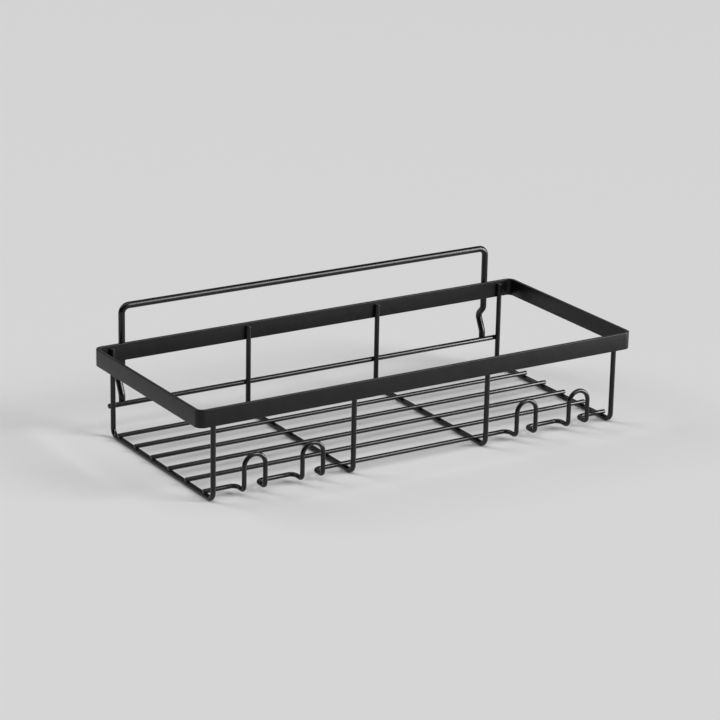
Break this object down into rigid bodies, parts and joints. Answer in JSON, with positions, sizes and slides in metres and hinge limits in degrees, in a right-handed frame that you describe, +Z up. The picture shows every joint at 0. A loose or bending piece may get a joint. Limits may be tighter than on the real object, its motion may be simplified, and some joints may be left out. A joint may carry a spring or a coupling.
{
  "type": "shower caddy",
  "caption": "Shallow wire basket with a flat strip rim, a slatted wire floor, hooks along the front edge and a wire bow at the back that hangs on wall clips.",
  "frame": {"origin": "on the ground plane that the cross wires stand on, under the middle of the whole outline", "axes": "+X along the length, +Y to the back, towards the wall it hangs on, +Z up"},
  "size_m": [0.31, 0.1421, 0.0841],
  "materials": {
    "coated_strip": "satin black powder coat on flat steel strip",
    "coated_wire": "satin black powder coat on round steel wire"
  },
  "bodies": {
    "root": {"rim_band": "coated_strip", "cross_wire_1": "coated_wire", "cross_wire_2": "coated_wire", "cross_wire_3": "coated_wire", "cross_wire_4": "coated_wire", "floor_wire_1": "coated_wire", "floor_wire_2": "coated_wire", "floor_wire_3": "coated_wire", "floor_wire_4": "coated_wire", "floor_wire_5": "coated_wire", "hook_wire": "coated_wire", "back_rail": "coated_wire", "back_hanger": "coated_wire"}
  },
  "joints": []
}
